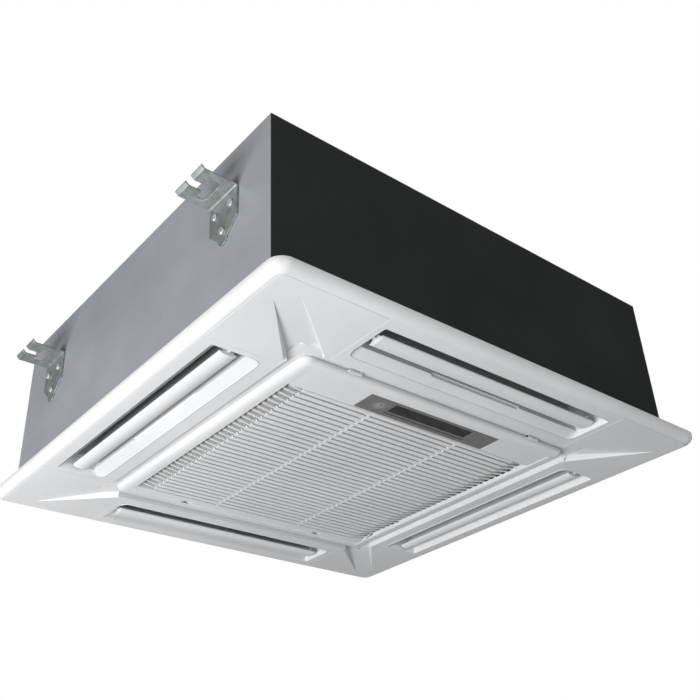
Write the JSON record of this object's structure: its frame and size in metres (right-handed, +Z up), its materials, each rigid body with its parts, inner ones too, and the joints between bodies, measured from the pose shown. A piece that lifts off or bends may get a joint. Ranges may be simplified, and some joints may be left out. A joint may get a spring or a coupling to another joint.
{
  "type": "ceiling cassette air conditioner",
  "caption": "Square ceiling cassette indoor unit with a slatted intake grille, swinging louvres on its sides, a sheet-metal casing and hanger brackets for threaded rods.",
  "frame": {"origin": "centre of the four hanger slots, at mid thickness of the hanger lugs, 218 mm above the ceiling plane", "axes": "+Z up; +X from the latch side of the intake grille to its hinge side; +Y along the grille's slats, from the front hanger brackets to the back ones"},
  "size_m": [0.951, 1.022, 0.3286],
  "materials": {
    "galvanised": "hot-dip galvanised sheet, fine spangle, slightly dull",
    "black_cover": "black coated sheet, satin",
    "bracket_zinc": "zinc plated pressed steel, darker and rougher than the sheet",
    "screw_zinc": "bright zinc plated screws",
    "foam": "moulded bead foam",
    "fin_aluminium": "thin aluminium fins",
    "copper": "drawn copper tube, slightly dull",
    "brass_nut": "machined brass",
    "blue_plastic": "moulded dark blue plastic",
    "black_plastic": "moulded black plastic",
    "grey_hose": "soft grey hose",
    "black_rubber": "moulded rubber",
    "board_green": "lacquered circuit board",
    "panel_white": "fine-textured moulded white plastic",
    "seal_foam": "closed-cell foam strip",
    "filter_net": "woven plastic net",
    "bezel_grey": "warm grey moulded plastic",
    "window_dark": "smoked glossy plastic"
  },
  "bodies": {
    "unit": {"casing_front": "galvanised", "casing_back": "galvanised", "casing_right": "black_cover", "casing_left": "galvanised", "casing_top": "galvanised", "foam_liner": "foam", "side_rail": "galvanised", "hanger_bracket_1": "bracket_zinc", "hanger_bracket_2": "bracket_zinc", "hanger_bracket_3": "bracket_zinc", "hanger_bracket_4": "bracket_zinc", "bracket_screws": "screw_zinc", "coil_fins": "fin_aluminium", "coil_end_plates": "galvanised", "coil_bends": "copper", "gas_pipe": "copper", "liquid_pipe": "copper", "flare_nuts": "brass_nut", "pipe_plate": "bracket_zinc", "drain_pan": "foam", "drain_pump": "blue_plastic", "drain_hose": "grey_hose", "drain_spout": "black_plastic", "float_stem": "panel_white", "fan_motor": "black_plastic", "motor_bushes": "black_rubber", "motor_bolts": "screw_zinc", "bell_mouth": "galvanised", "control_box": "galvanised", "control_lid": "bracket_zinc", "circuit_board": "board_green", "fascia": "panel_white", "corner_caps": "panel_white", "fascia_seal": "seal_foam", "fascia_screws": "screw_zinc", "louvre_motors": "panel_white", "hinge_pins": "screw_zinc"},
    "fan_wheel": {"motor_shaft": "screw_zinc", "fan_backplate": "black_plastic", "fan_blades": "black_plastic", "fan_shroud": "black_plastic", "fan_nut": "brass_nut"},
    "front_louvre": {"louvre_front": "panel_white"},
    "right_louvre": {"louvre_right": "panel_white"},
    "back_louvre": {"louvre_back": "panel_white"},
    "left_louvre": {"louvre_left": "panel_white"},
    "grille": {"intake_grille": "panel_white", "filter_frame": "panel_white", "filter_mesh": "filter_net", "display_bezel": "bezel_grey", "display_window": "window_dark", "display_board": "board_green"},
    "latch_1": {"grille_latch_1": "panel_white"},
    "latch_2": {"grille_latch_2": "panel_white"},
    "button": {"display_button": "bezel_grey"},
    "float_ring": {"float": "blue_plastic"}
  },
  "joints": [
    {"name": "fan_spin", "type": "hinge", "parent": "unit", "child": "fan_wheel", "pos_m": [0, 0, 0], "axis": [0, 0, 1], "continuous": true},
    {"name": "front_louvre_swing", "type": "hinge", "parent": "unit", "child": "front_louvre", "pos_m": [0, -0.396, -0.23], "axis": [1, 0, 0], "range_deg": [-8, 60]},
    {"name": "right_louvre_swing", "type": "hinge", "parent": "unit", "child": "right_louvre", "pos_m": [0.396, 0, -0.23], "axis": [0, 1, 0], "range_deg": [-8, 60]},
    {"name": "back_louvre_swing", "type": "hinge", "parent": "unit", "child": "back_louvre", "pos_m": [0, 0.396, -0.23], "axis": [-1, 0, 0], "range_deg": [-8, 60]},
    {"name": "left_louvre_swing", "type": "hinge", "parent": "unit", "child": "left_louvre", "pos_m": [-0.396, 0, -0.23], "axis": [0, -1, 0], "range_deg": [-8, 60]},
    {"name": "grille_drop", "type": "hinge", "parent": "unit", "child": "grille", "pos_m": [0.304, 0, -0.2316], "axis": [0, -1, 0], "range_deg": [0, 85]},
    {"name": "latch_1_slide", "type": "slide", "parent": "grille", "child": "latch_1", "axis": [1, 0, 0], "range_m": [0, 0.008], "stiffness_N_per_m": 100},
    {"name": "latch_2_slide", "type": "slide", "parent": "grille", "child": "latch_2", "axis": [1, 0, 0], "range_m": [0, 0.008], "stiffness_N_per_m": 100},
    {"name": "button_press", "type": "slide", "parent": "grille", "child": "button", "axis": [0, 0, 1], "range_m": [0, 0.001], "stiffness_N_per_m": 500},
    {"name": "float_lift", "type": "slide", "parent": "unit", "child": "float_ring", "axis": [0, 0, 1], "range_m": [0, 0.03]}
  ],
  "couplings": [
    {"joint": "right_louvre_swing", "follows": "front_louvre_swing", "ratio": 1},
    {"joint": "back_louvre_swing", "follows": "front_louvre_swing", "ratio": 1},
    {"joint": "left_louvre_swing", "follows": "front_louvre_swing", "ratio": 1}
  ]
}
